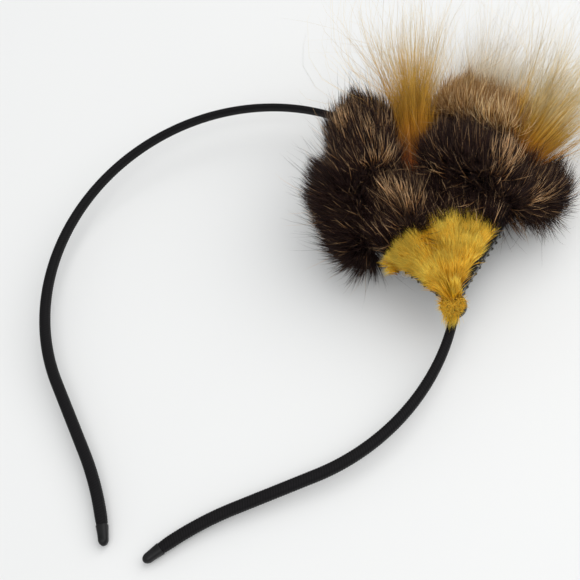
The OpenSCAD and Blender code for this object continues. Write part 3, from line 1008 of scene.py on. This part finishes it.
piles = {
    "yellow_patch": {"hair": "yellowPile", "pelt": "yellowPelt", "from": -fan["open"] / 2 + 4, "to": 9,
                     "radius": 24.8, "turn": 0, "seed": 40},
    "yellow_side_patch": {"hair": "yellowSidePile", "pelt": "yellowSidePelt", "from": 8,
                          "to": fan["open"] / 2 + 6, "radius": 21.8, "turn": 22, "seed": 41},
}
pileHair = {
    "count": 9500, "length": (6.2, 10.4), "width": 0.26, "wild": 0.3, "lean": 0.6, "tuft": 50, "pull": 0.55,
    "steps": 3,
    "edge": 1.7,         # how far the roots stay from the base's edge
    "narrow": 7.5,       # nearer the point than this, they come closer to it
    "overhang": 19.5,    # beyond this, they may stand past it
    # Painted shade: hair between tufts is coloured darker.
    "partingShade": 0.45,     # darkening between tufts
    # In the cleft the hair is shorter and is coloured darker; the darkening is painted shade.
    "cleft": 9, "cleftWide": 5, "cleftDipAndShade": 0.5,  # the gap between the two folds, in degrees
}
apex = {"length": (2.6, 4.6), "wild": 0.35, "lean": 0.45, "tuft": 14, "pull": 0.35,
        "hairs": 1300, "radius": 3.4, "crest": 1.6, "wisps": 170, "wispLength": (2, 6)}
peltInset = {"from": 8, "to": 6, "radius": 1.2, "rim": 0.2, "point": 5}


def pileStrands(pile, rng):
    n = pileHair["count"]
    reach = pile["radius"] * np.sqrt(rng.uniform(0.002, 1, n))
    angle = np.radians(rng.uniform(pile["from"], pile["to"], n))
    angle += np.radians(rng.normal(0, 1.5, n))
    reach += rng.normal(0, 0.7, n)
    rim = pileHair["edge"] * np.clip(reach / pileHair["narrow"], 0.4, 1)
    limit = np.radians(fan["open"] / 2 - np.degrees(rim / np.maximum(reach, 4)))
    angle = np.where(reach < pileHair["overhang"], np.clip(angle, -limit, limit), angle)
    angle = np.maximum(angle, -limit)
    floorZ = furZ + patch["pelt"] - 0.2
    roots = np.stack([reach * np.cos(angle), reach * np.sin(angle), np.full(n, floorZ)], -1)
    normals = np.tile([0.0, 0, 1], (n, 1))
    lean = 1.25 * angle + math.radians(pile["turn"])
    comb = np.stack([np.cos(lean), np.sin(lean), np.zeros(n)], -1)
    gap = np.hypot(roots[:, 0] - patch["seat"], roots[:, 1])
    dome = patch["height"] - (patch["domeRadius"] - np.sqrt(patch["domeRadius"] ** 2 - gap ** 2))
    # The cleft between the folds gets shorter hair and painted shade.
    away = (np.degrees(angle) - pileHair["cleft"]) / pileHair["cleftWide"]
    dipAndShade = pileHair["cleftDipAndShade"] * np.exp(-away ** 2) * np.clip((reach - 9) / 7, 0, 1)
    tall = np.clip(dome / patch["height"] + 0.25, 0.7, 1.05) * (1 - 0.7 * dipAndShade)
    pts, near = combed(roots, normals, comb, pileHair, rng, tall)
    shade = np.clip(0.6 * rng.random(n)[near] + 0.4 * rng.random(n), 0, 0.999)
    off = np.linalg.norm(roots - roots[near], axis=-1)
    # Painted shade: strands between tufts and in the cleft show less of their paler tip colour.
    shown = (1 - pileHair["partingShade"] * np.clip(off / 2.6 - 0.3, 0, 1)) * (1 - dipAndShade)
    return bezier(pts, pileHair["steps"]), pileHair["width"] * rng.uniform(0.7, 1.2, n), shade, shown, rng


# Short hair over the base's round point, which parts at the crest.
def apexStrands(rng):
    m = apex["hairs"]
    turn = rng.uniform(0, 2 * np.pi, m)
    disc = apex["radius"] * np.sqrt(rng.random(m))
    roots = np.stack([disc * np.cos(turn), disc * np.sin(turn) + 0.2, np.full(m, furZ)], -1)
    forward = np.where(roots[:, 0] > apex["crest"], 0.8, -0.85)
    comb = np.stack([forward, 0.12 * roots[:, 1] + 0.08, np.zeros(m)], -1)
    pts, near = combed(roots, np.tile([0.0, 0, 1], (m, 1)), comb, apex, rng)
    return bezier(pts, 3), rng.uniform(0.18, 0.28, m), rng.uniform(0.3, 0.999, m), 1, rng


# Loose hair that hangs from the point over the band.
def wispStrands(rng):
    m = apex["wisps"]
    a = np.radians(rng.uniform(110, 250, m))
    tip = np.stack([2.8 * np.cos(a), 2.2 * np.sin(a) + 0.6, np.full(m, topZ + 0.8)], -1)
    down = unit(np.stack([-0.85 + 0.1 * rng.normal(size=m), 0.24 + 0.16 * rng.normal(size=m),
                          0.06 * rng.normal(size=m)], -1))
    ends = tip + down * rng.uniform(*apex["wispLength"], (m, 1))
    ends[:, 2] -= rng.uniform(0.2, 2, m)
    wisps = bezier([tip, 0.5 * (tip + ends) + 0.6 * rng.normal(size=(m, 3)), ends], 4)
    return wisps, rng.uniform(0.1, 0.17, m), rng.uniform(0.85, 1, m), 1, rng


def pilePelt(pile):
    bm = bmesh.new()
    start = max(pile["from"], -fan["open"] / 2 + peltInset["from"])
    stop = min(pile["to"], fan["open"] / 2 - peltInset["to"])
    radius = pile["radius"] - peltInset["radius"]
    arc = [math.radians(start + (stop - start) * i / 24) for i in range(25)]
    outline = [(peltInset["point"], 0.0)] + [(radius * math.cos(a), radius * math.sin(a)) for a in arc]
    slab(bm, outline, furZ, furZ + patch["pelt"], peltInset["rim"], 2)
    return bm


for name, pile in piles.items():
    rng = np.random.default_rng(pile["seed"])
    batches = [pileStrands(pile, rng)]
    if name == "yellow_patch":
        batches += [apexStrands(rng), wispStrands(rng)]
    strandMesh(pile["hair"], name, batches, yellowPile)
    pelt = addPiece(pile["pelt"], pilePelt(pile), yellowPelt, fanPlace)
    standIn(pelt, name)
print("yellow pile made")


# Plumes

def plumeHair(plume, seed):
    rng = np.random.default_rng(seed)
    root, mid, tip = [np.array(p, float) for p in plume["route"]]
    heading = unit(tip - root)
    across = unit(np.cross(heading, (0, 0, 1.0)))
    above = np.cross(across, heading)
    batches = []
    for layer in plume["layers"]:
        count = layer["count"]
        reach = rng.uniform(*layer["reach"], count)
        turn = rng.uniform(0, 2 * np.pi, count)
        far = np.minimum(np.abs(rng.normal(0, 0.55, count)), 1.25)
        far *= layer["fan"]
        flat = (far * np.cos(turn))[:, None] * across + (far * np.sin(turn) * 0.65)[:, None] * above
        near = rng.integers(0, count, count // layer["tuft"])
        own = np.c_[flat, reach[:, None] * 0.6]
        seeds = near[nearestSeed(own, own[near])]
        lock = flat + rng.normal(0, 0.14, (count, 3))
        lock += layer["pull"] * (lock[seeds] + 0.3 * (flat - flat[seeds]) - lock)
        a = (root + np.clip(flat, -1, 1) * plume["spread"][0])[:, None]
        b = (mid + (0.6 * flat + 0.4 * lock) * plume["spread"][1])[:, None]
        c = (tip + lock * plume["spread"][2])[:, None]
        bow = rng.normal(0, 1, (count, 3))
        bow = 0.25 * bow + 0.75 * bow[seeds]
        wave = rng.normal(0, 1, (count, 3))
        wave = 0.25 * wave + 0.75 * wave[seeds]
        t = np.linspace(0, 1, layer["steps"] + 1)[None, :, None] * reach[:, None, None]
        paths = (1 - t) ** 2 * a + 2 * t * (1 - t) * b + t ** 2 * c
        paths += layer["curl"] * t ** 2 * (0.6 * bow[:, None] + 0.3 * wave[:, None] * np.sin(7 * t))
        shade = np.clip(0.5 * rng.random(count)[seeds] + 0.5 * rng.random(count), 0, 0.999)
        width = layer["width"] * rng.uniform(0.7, 1.25, count)
        batches.append((paths, width, shade, np.minimum(reach * plume["tone"], 1), rng))
    return batches


for seed, (name, plume) in enumerate(plumes.items()):
    strandMesh(name + "Plume", name + "_plume", plumeHair(plume, 60 + seed), plume["material"])
print("plumes made")


# Floor, light and camera

stage = {"floor": (0.80, 0.80, 0.79), "world": (0.96, 0.98, 1.0), "worldStrength": 0.56}
bm = bmesh.new()
bmesh.ops.create_grid(bm, x_segments=1, y_segments=1, size=2.5, matrix=Matrix.Translation((0, 0, tableZ)))
floorMaterial, nodes, links, shader = newMaterial("paleTable", 0.9, 0.2)
paint(nodes, links, shader, noise(nodes, links, 6, 3),
      [(0.3, stage["floor"]), (0.7, tuple(c * 1.02 for c in stage["floor"]))])
floor = addPiece("table", bm, floorMaterial)

world = bpy.data.worlds.new("studio")
world.use_nodes = True
background = world.node_tree.nodes["Background"]
background.inputs["Color"].default_value = (*stage["world"], 1)
background.inputs["Strength"].default_value = stage["worldStrength"]
bpy.context.scene.world = world

lights = {
    "keyLight": {"from": 45, "height": 0.75, "out": 0.5, "size": 1.2, "power": 6.7},
    "frontLight": {"from": -75, "height": 1.4, "out": 0.85, "size": 1.0, "power": 5.6},
}
aim = Vector((0.01, 0.01, 0))
for name, light in lights.items():
    a = math.radians(light["from"])
    lamp = bpy.data.lights.new(name, "AREA")
    lamp.size = light["size"]
    lamp.energy = light["power"]
    obj = bpy.data.objects.new(name, lamp)
    obj.location = aim + Vector((light["out"] * math.cos(a), light["out"] * math.sin(a), light["height"]))
    obj.rotation_euler = (aim - obj.location).to_track_quat("-Z", "Y").to_euler()
    bpy.context.scene.collection.objects.link(obj)

view = {"lookAt": (0.00983, 0.00776, -0.00957), "distance": 0.45, "elevation": 59.2, "azimuth": 40.63,
        "roll": 25.94, "lens": 87.8}
az, el, roll = [math.radians(view[k]) for k in ("azimuth", "elevation", "roll")]
back = Vector((math.sin(az) * math.cos(el), -math.cos(az) * math.cos(el), math.sin(el)))
right = (-back).cross(Vector((0, 1, 0))).normalized()
up = right.cross(-back)
columns = (math.cos(roll) * right + math.sin(roll) * up, math.cos(roll) * up - math.sin(roll) * right, back)
cameraData = bpy.data.cameras.new("camera")
cameraData.lens = view["lens"]
cameraData.sensor_width = 36
cameraData.clip_start = 0.01
camera = bpy.data.objects.new("camera", cameraData)
turn = Matrix([list(c) for c in columns]).transposed()
camera.matrix_world = Matrix.Translation(Vector(view["lookAt"]) + back * view["distance"]) @ turn.to_4x4()
bpy.context.scene.collection.objects.link(camera)
bpy.context.scene.camera = camera
bpy.context.scene.view_settings.view_transform = "Standard"
print("stage, lights and camera set")
